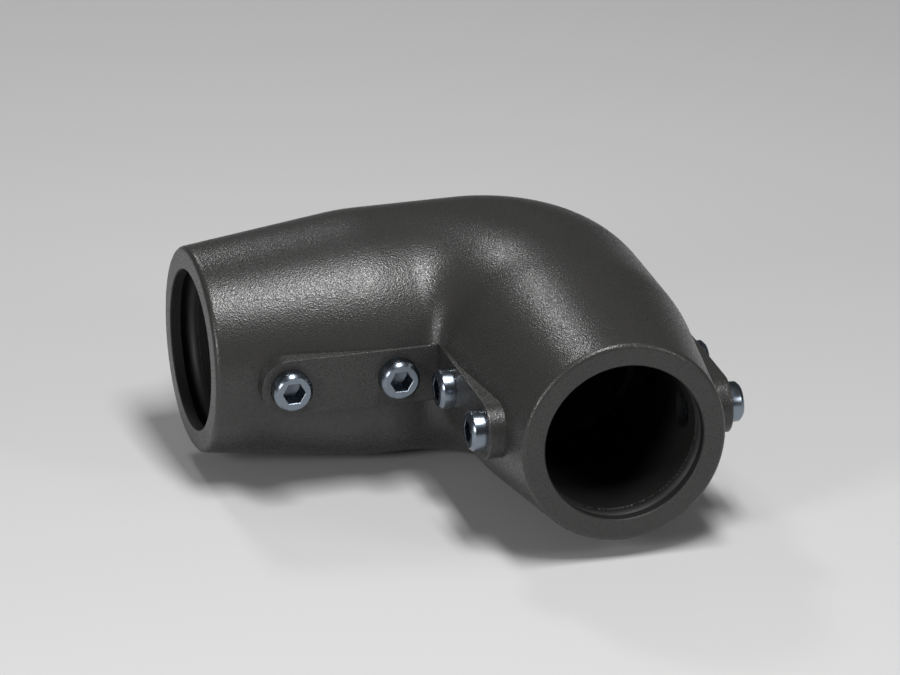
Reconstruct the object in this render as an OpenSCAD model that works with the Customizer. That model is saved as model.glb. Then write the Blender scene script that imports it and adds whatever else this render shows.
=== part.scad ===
// Rigid 90 degree elbow for round support tube. One thick-walled casting holds two tube
// sockets, and eight hexagon socket set screws clamp the tubes in them. A cable runs through
// from one tube to the other. The origin is where the two tube axes cross. Socket A opens
// towards -X and socket B towards -Y, and the casting is the same on both sides of the XY
// plane and of the upright plane between its arms.

/* [Tube sockets] */
// Outside diameter of the tube
tube_d = 48.3; // [42.3:0.1:51.3]
// Clearance between tube and socket, on the diameter
tube_gap = 0.2; // [0.1:0.05:0.4]
// Distance from the crossing of the tube axes to each mouth
arm_len = 104; // [94:1:130]
// Depth of a socket, from its mouth to the tube stop
socket_depth = 65.5; // [62:0.5:72]
// Height of the step that stops the tube
stop_step = 2.25; // [1.5:0.25:4]

/* [Seal groove] */
// Distance from the mouth to the middle of the round-bottomed groove
groove_from_mouth = 6; // [5:0.25:8]
// Width of the groove at the bore wall
groove_w = 5.4; // [3:0.2:6]

/* [Casting] */
// Wall beside the bore at the mouth
mouth_wall = 6.75; // [5:0.25:8]
// Wall beside the bore at the widest part of an arm
body_wall = 12.95; // [11:0.05:15]
// Length of the taper, from the mouth to the widest part
taper_len = 50; // [36:1:54]
// Length over which the taper eases into the widest part
taper_ease = 10; // [4:1:14]
// Rounding of the outer edge of each mouth
rim_round = 1.5; // [1:0.25:3]
// Chamfer that leads the tube into each mouth
lead_in = 0.3; // [0.2:0.1:0.8]
// Centre-line radius of the outer side of the bend
bend_r = 18; // [12:1:24]
// Radius of the fillet in the inner corner, at mid height
inner_fillet = 3; // [2:0.5:6]

/* [Screw pads] */
// Width of a pad, which is also twice the radius of its round end
pad_w = 17.6; // [15:0.2:20]
// Height of a pad's face above the widest part of the arm
pad_rise = 0.1; // [0.1:0.1:2]
// Rounding of the edge of a pad's face
pad_round = 0.2; // [0.1:0.1:1]

/* [Set screws] */
// Diameter of a set screw
screw_d = 12; // [8:1:12]
// Overall length of a set screw
screw_len = 16; // [14:0.5:17]
// How far a set screw stands out of its pad
screw_out = 4.5; // [3.5:0.5:6]
// Distance from the mouth to the first set screw
screw_from_mouth = 21; // [20:0.5:24]
// Gap between the two inner set screws nearest the corner, one of each arm
screw_clear = 2.2; // [1:0.1:4]
// Radial clearance of a set screw in its hole
screw_gap = 0.05; // [0.02:0.01:0.08]
// Chamfer at both ends of a set screw
screw_chamfer = 1; // [0.5:0.1:1.4]
// Width across the flats of the hexagon socket
hex_af = 6; // [3:0.5:6]
// Depth of the hexagon socket
hex_depth = 6; // [4:0.5:8]

/* [Hidden] */

$fn = 96;
// Surfaces that would only just touch are set apart by this much, so that they cross
seam = 0.02;

bore_r = (tube_d + tube_gap) / 2;
passage_r = bore_r - stop_step;
mouth_r = bore_r + mouth_wall;
body_r = bore_r + body_wall;
pad_face = body_r + pad_rise;
stop_at = arm_len - socket_depth;
taper_end = arm_len - taper_len;
fillet_bend_r = body_r + inner_fillet;
near_mouth = arm_len - screw_from_mouth;
near_bend = pad_face + screw_out + screw_clear + screw_d / 2;

casting_grey = [0.30, 0.31, 0.32];
zinc = [0.80, 0.84, 0.88];

// Each arm is drawn upright, with its distance from the crossing as its height, and is then
// laid down along its own socket's axis
module along_a() { rotate([0, -90, 0]) children(); }
module along_b() { mirror([1, -1, 0]) along_a() children(); }

// Half the section of an arm's outside, as [radius, distance from the crossing]. The straight
// taper eases into the widest part on a parabola.
module arm_half_section() {
    slope = (body_r - mouth_r) / taper_len;
    steps = 6;
    ease = [for (i = [0 : steps])
        [body_r - slope * taper_ease * pow(i / steps, 2) / 2,
         taper_end + taper_ease * (i / steps - 0.5)]];
    polygon(concat([[0, bend_r], [body_r, bend_r]], ease,
                   [[mouth_r, arm_len], [0, arm_len]]));
}

// What the rounding of the mouth's outer edge takes off
module rim_cut() {
    rotate_extrude() difference() {
        translate([mouth_r - rim_round, arm_len - rim_round]) square(2 * rim_round);
        translate([mouth_r - rim_round, arm_len - rim_round]) circle(rim_round);
    }
}

module arm() {
    difference() {
        rotate_extrude() arm_half_section();
        rim_cut();
    }
}

// A quarter turn of a round section about the upright axis where both straight arms end.
// The section is cut off at that axis.
module quarter_bend(centre_r, section_r) {
    translate([-centre_r, -centre_r, 0]) rotate_extrude(angle = 90) intersection() {
        translate([centre_r, 0]) circle(section_r);
        translate([0, -section_r]) square([centre_r + section_r, 2 * section_r]);
    }
}

// Between the centre lines of the two bends the casting is flat on top and underneath
module bend_web() {
    linear_extrude(2 * (body_r - 2 * seam), center = true) difference() {
        translate([-fillet_bend_r, -fillet_bend_r]) square(fillet_bend_r);
        translate([-fillet_bend_r, -fillet_bend_r]) circle(fillet_bend_r);
        difference() {
            translate([-bend_r, -bend_r]) square(2 * bend_r);
            translate([-bend_r, -bend_r]) circle(bend_r);
        }
    }
}

// Half the section of a pad across its length, as [distance from the middle, radius]
module pad_half_section() {
    half = pad_w / 2;
    translate([0, bore_r]) square([half, pad_face - pad_round - bore_r]);
    translate([0, bore_r]) square([half - pad_round, pad_face - bore_r]);
    translate([half - pad_round, pad_face - pad_round]) circle(pad_round);
}

// A flat-faced pad along an arm, from one distance from the crossing to another, with round
// ends. It stands on the side that faces +Y once the arm lies along -X.
module pad(from, to) {
    rotate([-90, 0, 0]) for (s = [from, to]) translate([-s, 0, 0]) rotate_extrude() pad_half_section();
    translate([-to, 0, 0]) rotate([90, 0, 90]) linear_extrude(to - from) mirror([1, -1, 0]) {
        pad_half_section();
        mirror([1, 0, 0]) pad_half_section();
    }
}

module pads_of_arm_a() {
    pad(near_bend, near_mouth);
    mirror([0, 1, 0]) pad(bend_r, near_mouth);
}

// The casting before anything is bored out of it
module solid_elbow() {
    along_a() arm();
    along_b() arm();
    quarter_bend(bend_r, body_r);
    quarter_bend(fillet_bend_r, body_r - seam);
    bend_web();
    pads_of_arm_a();
    mirror([1, -1, 0]) pads_of_arm_a();
}

// The socket for the tube, its seal groove, and the passage that leads to the bend
module socket() {
    translate([0, 0, stop_at]) cylinder(r = bore_r, h = socket_depth + 1);
    translate([0, 0, arm_len - lead_in]) cylinder(r1 = bore_r, r2 = bore_r + 2 * lead_in, h = 2 * lead_in);
    translate([0, 0, bend_r]) cylinder(r = passage_r, h = arm_len - bend_r);
    translate([0, 0, arm_len - groove_from_mouth])
        rotate_extrude() translate([bore_r, 0]) circle(groove_w / 2);
}

// The holes for all the set screws of arm A
module screw_holes_of_arm_a() {
    for (s = [near_mouth, near_bend], side = [90, -90])
        translate([-s, 0, 0]) rotate([side, 0, 0])
            cylinder(r = screw_d / 2 + screw_gap, h = pad_face + 1);
}

module elbow_casting() {
    color(casting_grey) difference() {
        solid_elbow();
        along_a() socket();
        along_b() socket();
        quarter_bend(bend_r, passage_r);
        screw_holes_of_arm_a();
        mirror([1, -1, 0]) screw_holes_of_arm_a();
    }
}

// A set screw standing on its point, with its socket up and its outer end at height 0. The
// hexagon ends in the cone that the drill left.
module set_screw() {
    corner_r = hex_af / sqrt(3);
    drill_r = hex_af / 2;
    end_r = screw_d / 2 - screw_chamfer;
    difference() {
        rotate_extrude() polygon([
            [0, 0], [end_r, 0], [screw_d / 2, -screw_chamfer],
            [screw_d / 2, screw_chamfer - screw_len], [end_r, -screw_len], [0, -screw_len]]);
        translate([0, 0, -hex_depth]) cylinder(r = corner_r, h = hex_depth + 1, $fn = 6);
        rotate_extrude() polygon([
            [0, -hex_depth - drill_r / 2], [drill_r, -hex_depth], [drill_r, 0.5 - hex_depth],
            [0, 0.5 - hex_depth]]);
    }
}

// A set screw of arm A at a distance from the crossing. It stands on the side of -Y for an
// inner pad and of +Y for an outer one, with two corners of its hexagon along the arm.
module screw_of_arm_a(distance, side) {
    color(zinc) translate([-distance, side * (pad_face + screw_out), 0])
        rotate([-side * 90, 0, 0]) set_screw();
}

module screw_of_arm_b(distance, side) {
    mirror([1, -1, 0]) screw_of_arm_a(distance, side);
}

inner = -1;
outer = 1;
module screw_a_inner_mouth() { screw_of_arm_a(near_mouth, inner); }
module screw_a_inner_bend() { screw_of_arm_a(near_bend, inner); }
module screw_a_outer_mouth() { screw_of_arm_a(near_mouth, outer); }
module screw_a_outer_bend() { screw_of_arm_a(near_bend, outer); }
module screw_b_inner_mouth() { screw_of_arm_b(near_mouth, inner); }
module screw_b_inner_bend() { screw_of_arm_b(near_bend, inner); }
module screw_b_outer_mouth() { screw_of_arm_b(near_mouth, outer); }
module screw_b_outer_bend() { screw_of_arm_b(near_bend, outer); }

elbow_casting();
screw_a_inner_mouth();
screw_a_inner_bend();
screw_a_outer_mouth();
screw_a_outer_bend();
screw_b_inner_mouth();
screw_b_inner_bend();
screw_b_outer_mouth();
screw_b_outer_bend();
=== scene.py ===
"""Looks of a right-angle tube elbow joint: a powder-coated casting with eight zinc set screws."""

import math

import bpy
import numpy as np
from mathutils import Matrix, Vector

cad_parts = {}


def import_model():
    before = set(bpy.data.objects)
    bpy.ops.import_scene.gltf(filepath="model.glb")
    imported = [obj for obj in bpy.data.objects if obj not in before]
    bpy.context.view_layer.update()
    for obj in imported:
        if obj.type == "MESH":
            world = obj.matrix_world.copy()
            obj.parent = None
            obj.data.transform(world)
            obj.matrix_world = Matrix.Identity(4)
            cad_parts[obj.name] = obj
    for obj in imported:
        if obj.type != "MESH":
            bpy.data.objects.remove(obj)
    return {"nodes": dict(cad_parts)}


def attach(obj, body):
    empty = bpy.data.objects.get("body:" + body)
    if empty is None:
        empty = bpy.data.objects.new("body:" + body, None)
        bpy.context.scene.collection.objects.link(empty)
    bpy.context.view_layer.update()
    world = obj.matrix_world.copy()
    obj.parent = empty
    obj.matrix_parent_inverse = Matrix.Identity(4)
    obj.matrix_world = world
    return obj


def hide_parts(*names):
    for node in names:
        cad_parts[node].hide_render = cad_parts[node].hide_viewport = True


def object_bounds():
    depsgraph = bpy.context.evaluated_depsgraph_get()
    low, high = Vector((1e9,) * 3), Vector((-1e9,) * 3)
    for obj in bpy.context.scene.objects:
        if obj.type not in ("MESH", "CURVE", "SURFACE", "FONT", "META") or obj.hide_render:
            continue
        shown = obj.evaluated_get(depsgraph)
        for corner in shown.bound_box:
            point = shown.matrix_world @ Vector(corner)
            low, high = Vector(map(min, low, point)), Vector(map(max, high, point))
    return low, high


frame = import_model()
cad_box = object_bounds()

# Sizes in millimetres, as the solids have them, apart from INNER_BEND_R. The origin is where the
# axes of the two tubes cross. Arm A runs along -X and arm B along -Y, and each is the other's
# mirror image.
MM = 0.001
ARM_LEN = 104.0        # from the crossing to a mouth
BORE_R = 24.25         # socket for the tube
STOP_AT = 38.5         # where the tube's end stands
PASSAGE_R = 22.0       # way through the bend
MOUTH_R = 31.0         # outside at a mouth
BODY_R = 37.2          # outside at the bend
TAPER_LEN = 50.0       # the mouth's end of an arm narrows over this length
TAPER_EASE = 10.0      # and starts to over this one
RIM_ROUND = 1.5        # outer edge of a mouth
LEAD_IN = 0.3          # chamfer of its inner edge
BEND_R = 18.0          # centre line of the bend
INNER_BEND_R = 42.0    # centre line of the fillet inside the corner, 40.2 in the solid
PAD_FACE = 37.3        # from the tube's axis to the flat face of a pad
PAD_HALF = 8.8         # half a pad's width
PAD_EDGE = 0.2         # rounding of a pad's edge
GROOVE_AT = 98.0       # middle of the seal groove, from the crossing
GROOVE_R = 2.7
SCREW_AT = (50.0, 83.0)    # the two screws of a pad, from the crossing
SCREW_R = 6.0
SCREW_GAP = 0.05       # from a screw to its hole's wall
SCREW_LEN = 16.0
SCREW_OUT = 4.5        # how far a screw stands out of its pad
SCREW_CHAMFER = 1.0
HEX_FLATS = 6.0
HEX_DEPTH = 6.0
THREAD_PITCH = 1.75

# Bands of the casting's grid: from, to, and about how far apart its planes are.
ALONG_BANDS = ((-ARM_LEN - 1.07, -ARM_LEN + 2.6, 0.6),    # the rim of a mouth
               (-ARM_LEN + 2.6, -94.6, 0.72),             # the groove
               (-94.6, -81.0, 0.9),                       # the round ends of the pads
               (-81.0, -39.0, 1.35),
               (-39.0, -35.5, 0.6),                       # the tube stop and the pads' crease
               (-35.5, 35.5, 1.35),
               (35.5, 38.43, 0.6))                        # the outer pads' faces
UPRIGHT_BANDS = ((0.0, 6.8, 1.3),
                 (6.8, 10.2, 0.55),                       # the pads' long edges
                 (10.2, 38.13, 1.35))


# ---------------------------------------------------------------- the casting's form

def round_max(a, b, r):
    """The common part of two solids, with their outer edge rounded to a radius r."""
    return np.minimum(np.maximum(a, b), -r) + np.hypot(np.maximum(a + r, 0), np.maximum(b + r, 0))


def arm_radius(s):
    """Outside radius of an arm at a distance s from the crossing."""
    slope = (BODY_R - MOUTH_R) / TAPER_LEN
    taper_end = ARM_LEN - TAPER_LEN
    u = s - (taper_end - TAPER_EASE / 2)
    eased = BODY_R - slope * u * u / (2 * TAPER_EASE)
    straight = BODY_R - slope * (s - taper_end)
    return np.where(u <= 0, BODY_R, np.where(u < TAPER_EASE, eased, straight))


def casting_field(x, y, z):
    """Near 0 on the casting's surface, below 0 in its metal, and about the distance elsewhere."""
    z = np.abs(z)
    arm_b = x > y
    s = -np.where(arm_b, y, x)      # along the arm, away from the crossing
    t = np.where(arm_b, x, y)       # across the arm, away from the other one
    r = np.hypot(t, z)

    # the outside: two round arms, joined by a bend and a filled corner
    inner = np.hypot(INNER_BEND_R - s, t + INNER_BEND_R) - INNER_BEND_R
    outer = np.where(s < BEND_R, np.hypot(BEND_R - s, t + BEND_R) - BEND_R, t)
    filled = np.maximum(np.maximum(-inner, outer), 0)
    off_axis = np.where(s > INNER_BEND_R, np.abs(t), filled)
    lean = math.cos(math.atan((BODY_R - MOUTH_R) / TAPER_LEN))
    side = (np.hypot(off_axis, z) - arm_radius(s)) * np.where(s > ARM_LEN - TAPER_LEN, lean, 1)
    body = round_max(side, s - ARM_LEN, RIM_ROUND)

    def pad(start, height):
        """A pad from a distance along the arm to the screw by the mouth."""
        along = np.maximum(np.maximum(s - SCREW_AT[1], start - s), 0)
        edge = np.where(along > 0, np.hypot(along, z), z) - PAD_HALF
        return round_max(np.maximum(edge, BORE_R - height), height - PAD_FACE, PAD_EDGE)

    solid = np.minimum(body, np.minimum(pad(SCREW_AT[0], t), pad(BEND_R, -t)))
    past_inner_pad = np.maximum(z - PAD_HALF, t + PAD_FACE)
    solid = np.maximum(solid, -past_inner_pad)    # so the inner pads meet in a crisp crease

    # what is bored and cored out of it
    bore = np.maximum(r - BORE_R, STOP_AT - s)
    lead_in = (r - BORE_R - (s - ARM_LEN + LEAD_IN)) * math.sqrt(0.5)
    passage = np.hypot(np.abs(np.where(s < BEND_R, outer, t)), z) - PASSAGE_R
    groove = np.hypot(r - BORE_R, s - GROOVE_AT) - GROOVE_R
    holes = np.minimum(np.hypot(s - SCREW_AT[0], z), np.hypot(s - SCREW_AT[1], z))
    holes = holes - SCREW_R - SCREW_GAP
    hollow = np.minimum(np.minimum(bore, passage), np.minimum(groove, holes))
    return np.maximum(solid, -np.minimum(hollow, lead_in))


# ---------------------------------------------------------------- a mesh of such a form

def normals_at(field, points, step=0.01):
    """The field's outward direction at each point."""
    normals = np.empty_like(points)
    for axis in range(3):
        ahead, behind = points.copy(), points.copy()
        ahead[:, axis] += step
        behind[:, axis] -= step
        normals[:, axis] = field(*ahead.T) - field(*behind.T)
    return normals / np.linalg.norm(normals, axis=1, keepdims=True)


def crossings(field, value, lines, axis, halvings=18):
    """Where the surface cuts the grid's edges along one axis.

    Returns the edges, their points and normals, and whether each starts inside the metal.
    """
    before, after = [slice(None)] * 3, [slice(None)] * 3
    before[axis], after[axis] = slice(None, -1), slice(1, None)
    edge = np.argwhere((value[tuple(before)] < 0) != (value[tuple(after)] < 0))
    point = np.stack([lines[k][edge[:, k]] for k in range(3)], 1)
    start = point[:, axis].copy()
    length = lines[axis][edge[:, axis] + 1] - start
    first = value[tuple(edge.T)] < 0
    low, high = np.zeros(len(edge)), np.ones(len(edge))
    for _ in range(halvings):
        middle = (low + high) / 2
        point[:, axis] = start + middle * length
        same = (field(*point.T) < 0) == first
        low, high = np.where(same, middle, low), np.where(same, high, middle)
    return edge, point, normals_at(field, point), first


def cells_around(edge, axis):
    """The four cells round each of the grid's edges along an axis, in turn."""
    around = np.repeat(edge[:, None], 4, axis=1)
    for turn, (back_b, back_c) in enumerate(((1, 1), (0, 1), (0, 0), (1, 0))):
        around[:, turn, (axis + 1) % 3] -= back_b
        around[:, turn, (axis + 2) % 3] -= back_c
    return around


def meeting_points(owner, points, normals, weakest=0.05):
    """Each cell's point, where the planes through its crossings meet.

    Directions in which the planes hardly differ are left at the crossings' mean.
    """
    count = np.bincount(owner)
    mean = np.stack([np.bincount(owner, points[:, k]) for k in range(3)], 1) / count[:, None]
    offset = np.einsum("ij,ij->i", normals, points - mean[owner])
    matrix, right = np.empty((len(count), 3, 3)), np.empty((len(count), 3))
    for i in range(3):
        right[:, i] = np.bincount(owner, normals[:, i] * offset)
        for j in range(3):
            matrix[:, i, j] = np.bincount(owner, normals[:, i] * normals[:, j])
    size, axes = np.linalg.eigh(matrix)
    strong = size > weakest * size[:, 2:]
    inverse = np.where(strong, 1 / np.where(strong, size, 1), 0)
    return mean + np.einsum("nij,nj,nkj,nk->ni", axes, inverse, axes, right)


def drawn_to_surface(field, lines, cell, place):
    """The cells' points moved onto the surface, each kept inside its cell."""
    lowest = np.stack([lines[k][cell[:, k]] for k in range(3)], 1)
    highest = np.stack([lines[k][cell[:, k] + 1] for k in range(3)], 1)
    for _ in range(2):
        place = np.clip(place, lowest, highest)
        place = place - normals_at(field, place) * field(*place.T)[:, None]
    return np.clip(place, lowest, highest)


def triangles_of(field, place, quads):
    """Two triangles to a quad, split along the diagonal that lies closer to the surface."""
    a, b, c, d = quads.T
    across_ac = np.abs(field(*((place[a] + place[c]) / 2).T))
    across_bd = np.abs(field(*((place[b] + place[d]) / 2).T))
    ac = (across_ac <= across_bd)[:, None]
    return np.concatenate([
        np.where(ac, np.stack([a, b, c], 1), np.stack([a, b, d], 1)),
        np.where(ac, np.stack([a, c, d], 1), np.stack([b, c, d], 1))])


def surface_of(field, lines):
    """The surface where a field is 0, by dual contouring: one point to a cell, sharp edges kept.

    lines are the grid's planes along X, Y and Z. Returns the points and the triangles.
    """
    cells = np.array([len(line) - 1 for line in lines])
    value = field(*np.meshgrid(*lines, indexing="ij"))
    stride = np.array([cells[1] * cells[2], cells[2], 1])
    quads, near, points, normals = [], [], [], []
    for axis in range(3):
        edge, point, normal, first = crossings(field, value, lines, axis)
        around = cells_around(edge, axis) @ stride
        quads.append(np.where(first[:, None], around, around[:, ::-1]))
        near.append(around.ravel())
        points.append(np.repeat(point, 4, axis=0))
        normals.append(np.repeat(normal, 4, axis=0))
    used, owner = np.unique(np.concatenate(near), return_inverse=True)

    place = meeting_points(owner, np.concatenate(points), np.concatenate(normals))
    cell = np.stack(np.unravel_index(used, cells), 1)
    place = drawn_to_surface(field, lines, cell, place)
    return place, triangles_of(field, place, np.searchsorted(used, np.concatenate(quads)))


def corner_normals(field, place, triangles, inset=0.12):
    """The field's direction at each triangle's corners, taken a little inside the triangle."""
    corners = place[triangles]
    middle = corners.mean(1, keepdims=True)
    shaded_socket_faces = corners + inset * (middle - corners)
    return normals_at(field, shaded_socket_faces.reshape(-1, 3))


def grid_line(*bands):
    """Planes of a grid from bands of (start, end, about this far apart), one after another."""
    parts = [np.linspace(a, b, max(1, round((b - a) / step)) + 1)[:-1] for a, b, step in bands]
    return np.concatenate(parts + [[bands[-1][1]]])


def mesh_object(name, points, faces, material, normals=None):
    """A mesh object from points in millimetres."""
    mesh = bpy.data.meshes.new(name)
    mesh.from_pydata((np.asarray(points) * MM).tolist(), [], [list(map(int, f)) for f in faces])
    mesh.materials.append(material)
    mesh.shade_smooth()
    if normals is not None:
        mesh.normals_split_custom_set(normals.tolist())
    obj = bpy.data.objects.new(name, mesh)
    bpy.context.scene.collection.objects.link(obj)
    return obj


def in_socket(places):
    """Whether each place lies inside one of the two sockets, short of the mouth's flat face."""
    x, y, z = places.T
    reach = BORE_R + GROOVE_R + 0.3
    mouth = ARM_LEN - 0.03
    in_a = (np.hypot(y, z) < reach) & (-x > STOP_AT) & (-x < mouth)
    in_b = (np.hypot(x, z) < reach) & (-y > STOP_AT) & (-y < mouth)
    return in_a | in_b


def casting(material, shaded_bore_material):
    """The casting, in finer facets than its solid."""
    along = grid_line(*ALONG_BANDS)
    upper = grid_line(*UPRIGHT_BANDS)
    upright = np.concatenate([-upper[:0:-1], upper])
    place, triangles = surface_of(casting_field, (along, along, upright))
    normals = corner_normals(casting_field, place, triangles)
    obj = mesh_object("elbow_casting_skin", place, triangles, material, normals)
    obj.data.materials.append(shaded_bore_material)
    # the faces inside the sockets get the darker coat, painted shade for the sockets' depth
    shaded_socket_faces = in_socket(place[triangles].mean(axis=1))
    obj.data.polygons.foreach_set("material_index", shaded_socket_faces.astype(np.int32))
    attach(obj, "elbow")
    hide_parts("elbow_casting")


# ---------------------------------------------------------------- the set screws

def thread_depth(turn):
    """Depth of a metric thread's groove in pitches, after so many turns; its root is at 0.5."""
    flank = math.tan(math.radians(60.0))
    root_depth = 0.5413
    half_mouth = 7 / 16
    from_root = np.abs((turn % 1.0) - 0.5)
    return np.clip((half_mouth - from_root) * flank, 0.0, root_depth)


def screw_rings():
    """A set screw as rings of points round +Z, with its socket's end at height 0."""
    count = 72
    thread_steps = 75
    edge = 0.12                  # chamfer round the hexagon and at the tip
    plain, fading = 0.4, 1.2     # the thread starts this far below the pad, over this length
    face_r = SCREW_R - SCREW_CHAMFER
    phi = np.arange(count) * 2 * math.pi / count
    rings = []

    def ring(radius, height):
        radius = np.broadcast_to(radius, phi.shape)
        rings.append(np.stack([radius * np.cos(phi), radius * np.sin(phi),
                               np.full(count, height)], 1))

    def hexagon(flats):
        """Distance to a hexagon's side in each direction, with a corner at angle 0."""
        return flats / 2 / np.cos((phi % (math.pi / 3)) - math.pi / 6)

    ring(0.0, -SCREW_LEN)
    ring(face_r - edge, -SCREW_LEN)
    tip = -SCREW_LEN + np.linspace(0.0, SCREW_CHAMFER, 8)
    threaded = np.linspace(tip[-1], -SCREW_OUT, thread_steps + 1)[1:]
    for height in np.concatenate([tip, threaded]):
        # the thread runs out towards the plain end, and the point is chamfered
        run_out = np.clip((-SCREW_OUT - plain - height) / fading, 0.0, 1.0)
        groove = thread_depth(height / THREAD_PITCH - phi / (2 * math.pi)) * THREAD_PITCH
        at_point = face_r + (height + SCREW_LEN)
        ring(np.minimum(SCREW_R - groove * run_out, at_point), height)

    # the shoulder, with both of its edges broken
    ring(SCREW_R, -SCREW_CHAMFER - edge)
    ring(SCREW_R - 0.04, -SCREW_CHAMFER)
    ring(face_r + 0.10, -0.10)
    ring(face_r - 0.05, 0.0)

    # the hexagon socket and the cone that its drill left
    ring(hexagon(HEX_FLATS + 2 * edge), 0.0)
    ring(hexagon(HEX_FLATS), -edge)
    ring(hexagon(HEX_FLATS), -HEX_DEPTH)
    ring(HEX_FLATS / 2 - 0.02, -HEX_DEPTH)
    ring(0.0, -HEX_DEPTH - HEX_FLATS / 4)
    return rings, count


def screw_mesh():
    """The rings joined into one closed skin, with a single point at each end."""
    rings, count = screw_rings()
    points = [rings[0][0]]
    for ring in rings[1:-1]:
        points.extend(ring)
    points.append(rings[-1][0])
    starts = range(1, len(points) - 1, count)
    faces = []
    for i in range(count):
        j = (i + 1) % count
        faces.append((0, 1 + j, 1 + i))
        for low, high in zip(starts, starts[1:]):
            faces.append((low + i, low + j, high + j, high + i))
        faces.append((starts[-1] + i, starts[-1] + j, len(points) - 1))
    return np.array(points), faces


def screws(material):
    """All eight: two on each side of each arm, their sockets' corners along the arm."""
    sharp = math.radians(28.0)
    points, faces = screw_mesh()
    for arm in "ab":
        for side, place in ((-1, "inner"), (1, "outer")):
            for distance, end in zip(SCREW_AT, ("bend", "mouth")):
                along = np.array([1.0, 0.0, 0.0] if arm == "a" else [0.0, 1.0, 0.0])
                out = side * along[[1, 0, 2]]
                frame_of_screw = np.stack([along, np.cross(out, along), out])
                middle = -distance * along + (PAD_FACE + SCREW_OUT) * out
                node = f"screw_{arm}_{place}_{end}"
                obj = mesh_object(node + "_skin", points @ frame_of_screw + middle, faces, material)
                obj.data.set_sharp_from_angle(angle=sharp)
                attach(obj, node)
                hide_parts(node)


# ---------------------------------------------------------------- materials

class Nodes:
    """A short way to write a material's nodes."""

    def __init__(self, name):
        self.material = bpy.data.materials.new(name)
        self.material.use_nodes = True
        self.tree = self.material.node_tree
        self.tree.nodes.clear()
        self.output = self.add("ShaderNodeOutputMaterial")

    def add(self, kind, props=(), **inputs):
        node = self.tree.nodes.new(kind)
        for key, value in dict(props).items():
            setattr(node, key, value)
        for key, value in inputs.items():
            socket = node.inputs[key.replace("_", " ")]
            if isinstance(value, bpy.types.NodeSocket):
                self.link(value, socket)
            else:
                socket.default_value = value
        return node

    def link(self, out, socket):
        self.tree.links.new(out, socket)

    def between(self, factor, dark, light, start=0.0):
        """A colour from dark to light as the factor goes from start to 1."""
        node = self.add("ShaderNodeValToRGB", Fac=factor)
        for element, place, colour in zip(node.color_ramp.elements, (start, 1.0), (dark, light)):
            element.position = place
            element.color = (*colour, 1)
        return node.outputs["Color"]

    def finish(self, **inputs):
        """The shader, joined to the output. Returns the material."""
        shader = self.add("ShaderNodeBsdfPrincipled", **inputs)
        self.link(shader.outputs[0], self.output.inputs["Surface"])
        return self.material


# Noise scales are in turns to a metre and bump distances in metres.
GRAIN_SCALE = 2500.0
CELL_SCALE = 2100.0

def powder_coat():
    """Black powder coat: a fine grain, duller in its hollows and in patches, its colour darkened in
    the grain's hollows as painted shade and lighter or darker in patches at random.
    """
    n = Nodes("powder_coat")
    place = n.add("ShaderNodeTexCoord").outputs["Object"]
    grain = n.add("ShaderNodeTexNoise", Vector=place, Scale=GRAIN_SCALE, Detail=1.0, Roughness=0.5)
    cells = n.add("ShaderNodeTexVoronoi", {"feature": "SMOOTH_F1"}, Vector=place, Scale=CELL_SCALE)
    height = n.add("ShaderNodeMath", {"operation": "ADD"})
    n.link(grain.outputs["Fac"], height.inputs[0])
    n.link(cells.outputs["Distance"], height.inputs[1])
    bump = n.add("ShaderNodeBump", Strength=1.0, Distance=0.00007, Height=height.outputs[0])
    patches = n.add("ShaderNodeTexNoise", Vector=place, Scale=60.0, Detail=4.0, Roughness=0.6)
    uneven = n.add("ShaderNodeMath", {"operation": "MULTIPLY_ADD"})
    n.link(patches.outputs["Fac"], uneven.inputs[0])
    uneven.inputs[1].default_value = 0.3      # how much the patches weigh against the grain
    n.link(height.outputs[0], uneven.inputs[2])
    rough = n.add("ShaderNodeMapRange", Value=uneven.outputs[0], From_Min=0.75, From_Max=1.35,
                  To_Min=0.44, To_Max=0.22)
    # colour: painted shade in the grain's hollows, and a tone that varies at random in patches
    tone_and_painted_shade = n.between(uneven.outputs[0], (0.014, 0.014, 0.014), (0.034, 0.033, 0.032), start=0.75)
    return n.finish(Base_Color=tone_and_painted_shade, Roughness=rough.outputs["Result"],
                    Normal=bump.outputs["Normal"])


def shaded_bore_coat():
    """A duller coat for the insides of the sockets, coloured darker than the outer coat as painted
    shade for their depth.
    """
    n = Nodes("shaded_bore_coat")
    place = n.add("ShaderNodeTexCoord").outputs["Object"]
    grain = n.add("ShaderNodeTexNoise", Vector=place, Scale=GRAIN_SCALE, Detail=1.0, Roughness=0.5)
    bump = n.add("ShaderNodeBump", Strength=1.0, Distance=0.00003, Height=grain.outputs["Fac"])
    rough = n.add("ShaderNodeMapRange", Value=grain.outputs["Fac"], To_Min=0.62, To_Max=0.48)
    patches = n.add("ShaderNodeTexNoise", Vector=place, Scale=90.0, Detail=4.0, Roughness=0.6)
    # painted shade: the sockets' insides are coloured darker than the outer coat, with patches at
    # random
    tone_and_painted_shade = n.between(patches.outputs["Fac"], (0.007, 0.007, 0.007), (0.015, 0.015, 0.014))
    return n.finish(Base_Color=tone_and_painted_shade, Roughness=rough.outputs["Result"],
                    Normal=bump.outputs["Normal"])


def zinc():
    """Blue-passivated zinc plate on steel."""
    n = Nodes("blue_zinc")
    place = n.add("ShaderNodeTexCoord").outputs["Object"]
    cloud = n.add("ShaderNodeTexNoise", Vector=place, Scale=350.0, Detail=3.0, Roughness=0.6)
    rough = n.add("ShaderNodeMapRange", Value=cloud.outputs["Fac"], To_Min=0.20, To_Max=0.32)
    return n.finish(Base_Color=(0.22, 0.255, 0.30, 1), Metallic=1.0,
                    Roughness=rough.outputs["Result"])


def pale_floor():
    return Nodes("pale_floor").finish(Base_Color=(0.64, 0.64, 0.64, 1), Roughness=0.6)


# ---------------------------------------------------------------- stage

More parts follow.
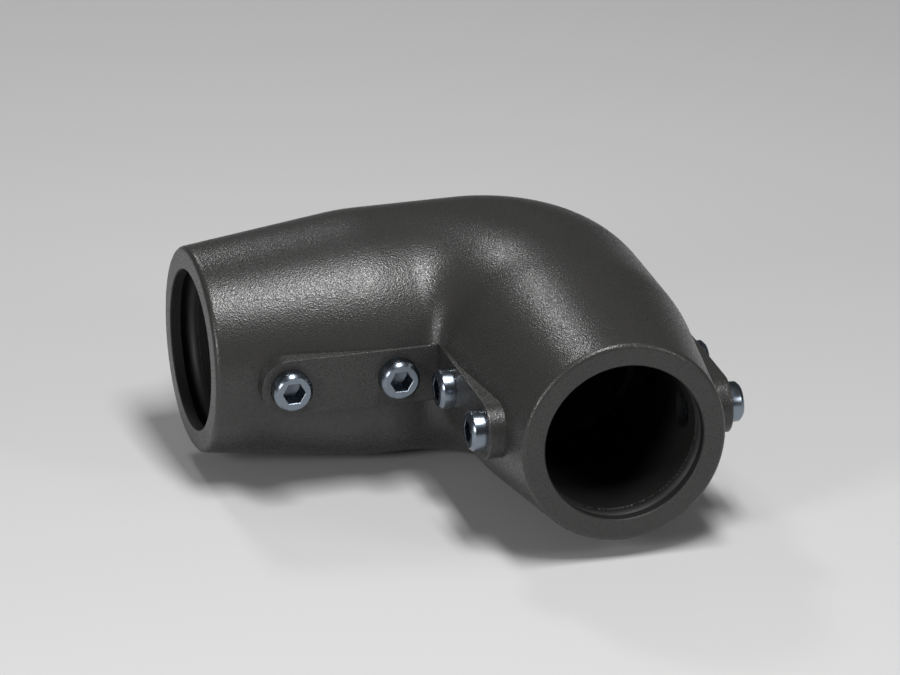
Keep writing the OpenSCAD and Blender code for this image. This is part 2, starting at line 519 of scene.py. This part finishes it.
FLOOR_HALF = 3000.0       # in millimetres, as above
FLOOR_BELOW = 0.00001     # from here on in metres: clear of the casting's lowest line
WORLD_GREY = 0.80
WORLD_STRENGTH = 0.08

# Softboxes: name, azimuth and elevation in degrees, distance, width, height, watts.
LAMPS = (("top", 0, 70, 0.85, 0.13, 0.42, 6.2),
         ("back", -166, 44, 0.85, 0.13, 0.13, 1.1),
         ("left", -54, 18, 0.85, 0.20, 0.20, 2.2),
         ("right", 40, 24, 0.85, 0.20, 0.20, 1.0))

VIEW_AZIMUTH = -16.135
VIEW_ELEVATION = 22.518
VIEW_DISTANCE = 2.66467
VIEW_TARGET = Vector((-0.026687, -0.012477, 0.0))
VIEW_END = 20.0
FOCAL_LENGTH = 354.87     # in millimetres, as is the sensor's width
SENSOR_WIDTH = 36.0


def floor(level):
    """A square floor at a height in metres."""
    corners = [(x * FLOOR_HALF, y * FLOOR_HALF, level / MM)
               for x, y in ((-1, -1), (1, -1), (1, 1), (-1, 1))]
    mesh_object("floor", corners, [(0, 1, 2, 3)], pale_floor())


def world():
    studio = bpy.data.worlds.new("studio")
    bpy.context.scene.world = studio
    studio.use_nodes = True
    background = studio.node_tree.nodes["Background"]
    background.inputs["Color"].default_value = (WORLD_GREY, WORLD_GREY, WORLD_GREY, 1)
    background.inputs["Strength"].default_value = WORLD_STRENGTH


def towards(azimuth, elevation):
    az, el = math.radians(azimuth), math.radians(elevation)
    return Vector((math.sin(az) * math.cos(el), -math.cos(az) * math.cos(el), math.sin(el)))


def facing(obj, place, direction):
    """Puts a lamp or a camera in its place, looking against a direction."""
    bpy.context.scene.collection.objects.link(obj)
    obj.location = place
    obj.rotation_euler = (-direction).to_track_quat("-Z", "Y").to_euler()


def softbox(name, azimuth, elevation, distance, width, height, watts):
    """A rectangular lamp aimed at the origin, its height along the elevation."""
    lamp = bpy.data.lights.new(name, "AREA")
    lamp.shape = "RECTANGLE"
    lamp.size = width
    lamp.size_y = height
    lamp.energy = watts
    direction = towards(azimuth, elevation)
    facing(bpy.data.objects.new(name, lamp), direction * distance, direction)


def camera():
    data = bpy.data.cameras.new("camera")
    data.lens = FOCAL_LENGTH
    data.sensor_width = SENSOR_WIDTH
    data.clip_end = VIEW_END
    obj = bpy.data.objects.new("camera", data)
    direction = towards(VIEW_AZIMUTH, VIEW_ELEVATION)
    facing(obj, VIEW_TARGET + direction * VIEW_DISTANCE, direction)
    bpy.context.scene.camera = obj


# ---------------------------------------------------------------- the scene

coat = powder_coat()
plating = zinc()
for name, node in frame["nodes"].items():
    node.data.materials.clear()
    node.data.materials.append(coat if name == "elbow_casting" else plating)
casting(coat, shaded_bore_coat())
screws(plating)

floor(cad_box[0][2] - FLOOR_BELOW)
world()
for lamp in LAMPS:
    softbox(*lamp)
camera()
bpy.context.scene.view_settings.view_transform = "Standard"
